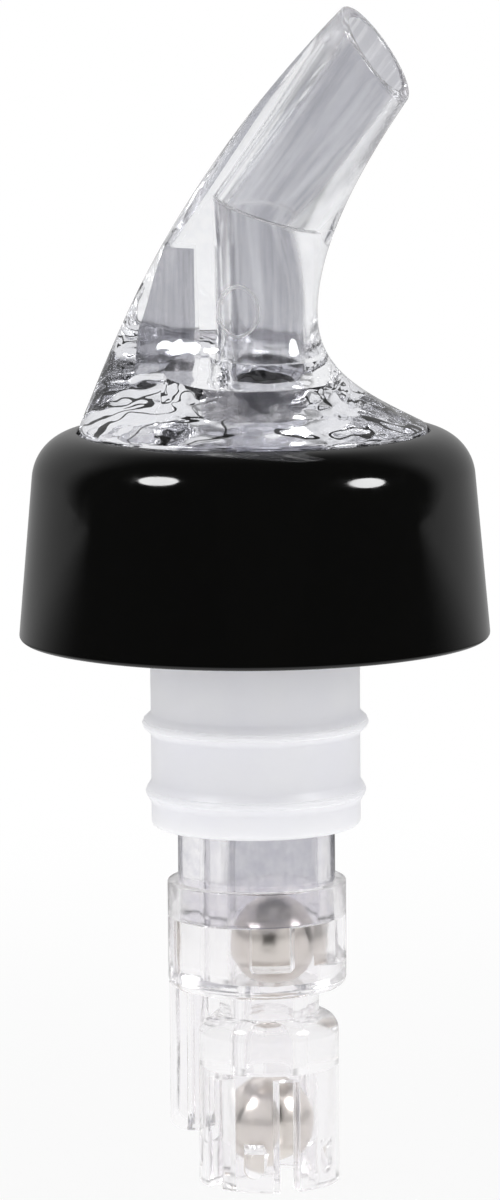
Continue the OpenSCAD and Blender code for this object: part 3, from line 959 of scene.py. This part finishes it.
def studio_white():
    """White paper, lit as in a studio. The camera and clear plastic see it white, with a faint shadow by the object.

    Gloss sees it white by the object and pale behind it, and dark on the camera's side. It also lights matt surfaces.
    """
    finish, tree, spot = new_finish("paper_white_matt")
    grain = add(tree, "ShaderNodeTexNoise", {"Vector": spot, "Scale": per_mm(8.0), "Detail": 2.0})
    tint = add(
        tree,
        "ShaderNodeMix",
        {"Factor": grain.outputs["Fac"], "A": linear("#F4F4F4"), "B": linear("#FAFAFA")},
        data_type="RGBA",
    )
    matt = add(tree, "ShaderNodeBsdfDiffuse", {"Color": tint.outputs[2]})
    path, seen = seen_rays(tree)
    ahead = add(tree, "ShaderNodeVectorMath", {0: spot, 1: turned(AZIMUTH, 0)}, operation="DOT_PRODUCT")
    level = add(
        tree,
        "ShaderNodeMapRange",
        {"Value": ahead.outputs["Value"], "From Min": -0.3, "From Max": 0, "To Min": ROOM_GLOSS, "To Max": ROOM_DARK},
        interpolation_type="SMOOTHSTEP",
    ).outputs["Result"]
    reach = add(tree, "ShaderNodeVectorMath", {0: spot}, operation="LENGTH").outputs["Value"]
    close = add(
        tree,
        "ShaderNodeMapRange",
        {"Value": reach, "From Min": SHADOW_NEAR, "From Max": SHADOW_FAR, "To Min": 1.0, "To Max": 0.0},
        interpolation_type="SMOOTHSTEP",
    ).outputs["Result"]
    matt_rays = path.outputs["Is Diffuse Ray"]
    fill = add(tree, "ShaderNodeMath", {0: matt_rays, 1: PAPER_FILL}, operation="MULTIPLY").outputs[0]
    camera_rays, clear_rays = path.outputs["Is Camera Ray"], path.outputs["Is Transmission Ray"]
    for least in (close, camera_rays, clear_rays, fill):
        level = add(tree, "ShaderNodeMath", {0: level, 1: least}, operation="MAXIMUM").outputs[0]
    white = add(tree, "ShaderNodeEmission", {"Color": (1, 1, 1, 1), "Strength": level})
    glow = add(
        tree,
        "ShaderNodeMapRange",
        {"Value": reach, "From Min": SHADOW_NEAR, "From Max": SHADOW_FAR, "To Min": PAPER_SHARE, "To Max": 1.0},
        interpolation_type="SMOOTHSTEP",
    )
    lit = add(tree, "ShaderNodeMath", {0: seen, 1: matt_rays}, operation="MAXIMUM").outputs[0]
    share = add(tree, "ShaderNodeMath", {0: lit, 1: glow.outputs["Result"]}, operation="MULTIPLY")
    mixed = add(tree, "ShaderNodeMixShader", {0: share.outputs[0], 1: matt.outputs[0], 2: white.outputs[0]})
    add(tree, "ShaderNodeOutputMaterial", {"Surface": mixed.outputs[0]})
    return finish


def make_studio():
    """A wide round sheet of the paper, under the object."""
    bm = bmesh.new()
    bmesh.ops.create_circle(bm, cap_ends=True, radius=FLOOR_R, segments=FLOOR_STEPS)
    mesh = bpy.data.meshes.new("studio_floor")
    bm.to_mesh(mesh)
    bm.free()
    mesh.materials.append(studio_white())
    floor = bpy.data.objects.new("studio_floor", mesh)
    floor.location.z = FLOOR_Z
    bpy.context.scene.collection.objects.link(floor)


def make_lamp(name, azimuth, elevation):
    """A round soft box that faces the object from these angles, measured from the camera's side."""
    data = bpy.data.lights.new(name, "AREA")
    data.shape, data.size, data.energy = "DISK", BOX_SIZE, BOX_POWER
    lamp = bpy.data.objects.new(name, data)
    # The room lights matt surfaces, and the soft box shows in gloss
    lamp.visible_diffuse = False
    bpy.context.scene.collection.objects.link(lamp)
    out = turned(AZIMUTH + azimuth, elevation)
    lay = out.to_track_quat("Z", "Y").to_matrix().to_4x4()
    lamp.matrix_world = Matrix.Translation(AIM + out * BOX_REACH) @ lay


def make_light():
    """Two soft boxes in a room that is white to the camera.

    Gloss sees it pale behind the object, and dark overhead and on the camera's side. Clear plastic sees it white
    behind, and grey low down on the camera's side. It lights matt surfaces from all sides, and less from above.
    """
    for name, angles in SOFT_BOXES.items():
        make_lamp(name, *angles)
    world = bpy.data.worlds.new("studio_room")
    world.use_nodes = True
    bpy.context.scene.world = world
    tree = world.node_tree
    tree.nodes.clear()
    way = add(tree, "ShaderNodeTexCoord").outputs["Generated"]
    facing = add(tree, "ShaderNodeVectorMath", {0: way, 1: turned(AZIMUTH, 0)}, operation="DOT_PRODUCT")
    height = add(tree, "ShaderNodeSeparateXYZ", {0: way}).outputs["Z"]
    white_behind = add(
        tree,
        "ShaderNodeMapRange",
        {"Value": facing.outputs["Value"], "From Min": -0.15, "From Max": -0.5, "To Min": 0.0, "To Max": 1.0},
        interpolation_type="SMOOTHSTEP",
    ).outputs["Result"]
    dark_above = add(
        tree,
        "ShaderNodeMapRange",
        {"Value": height, "From Min": 0.55, "From Max": 0.9, "To Min": 1.0, "To Max": 0.1},
        interpolation_type="SMOOTHSTEP",
    ).outputs["Result"]
    white = add(tree, "ShaderNodeMath", {0: white_behind, 1: dark_above}, operation="MULTIPLY").outputs[0]
    path, seen = seen_rays(tree)
    level = add(
        tree,
        "ShaderNodeMapRange",
        {"Value": height, "From Min": 0.1, "From Max": 0.6, "To Min": ROOM_SIDES, "To Max": ROOM_CEILING},
        interpolation_type="SMOOTHSTEP",
    ).outputs["Result"]
    haze = add(
        tree,
        "ShaderNodeMapRange",
        {"Value": height, "From Min": 0.05, "From Max": 0.35, "To Min": HAZE_LOW, "To Max": HAZE_HIGH},
        interpolation_type="SMOOTHSTEP",
    ).outputs["Result"]
    sides = ((seen, ROOM_DARK, ROOM_GLOSS), (path.outputs["Is Transmission Ray"], haze, 1.0))
    for rays, front, behind in sides:
        shown = add(tree, "ShaderNodeMapRange", {"Value": white, "To Min": front, "To Max": behind}).outputs["Result"]
        level = add(tree, "ShaderNodeMix", {"Factor": rays, "A": level, "B": shown}).outputs[0]
    level = add(tree, "ShaderNodeMix", {"Factor": path.outputs["Is Camera Ray"], "A": level, "B": 1.0}).outputs[0]
    room = add(tree, "ShaderNodeBackground", {"Color": (1, 1, 1, 1), "Strength": level})
    add(tree, "ShaderNodeOutputWorld", {"Surface": room.outputs[0]})


make_camera()
steel = tumbled_steel()
make_spout()
make_collar()
make_stopper()
make_tube()
make_cage()
make_ball(METERING_REST, "steel_metering_ball", steel, "metering_ball")
make_ball(RELEASE_REST, "steel_release_ball", steel, "release_ball")
make_studio()
make_light()
bpy.context.scene.view_settings.view_transform = "Standard"
# Light turns many times inside the clear pieces
cycles = bpy.context.scene.cycles
cycles.max_bounces, cycles.glossy_bounces, cycles.transmission_bounces = 32, 24, 24
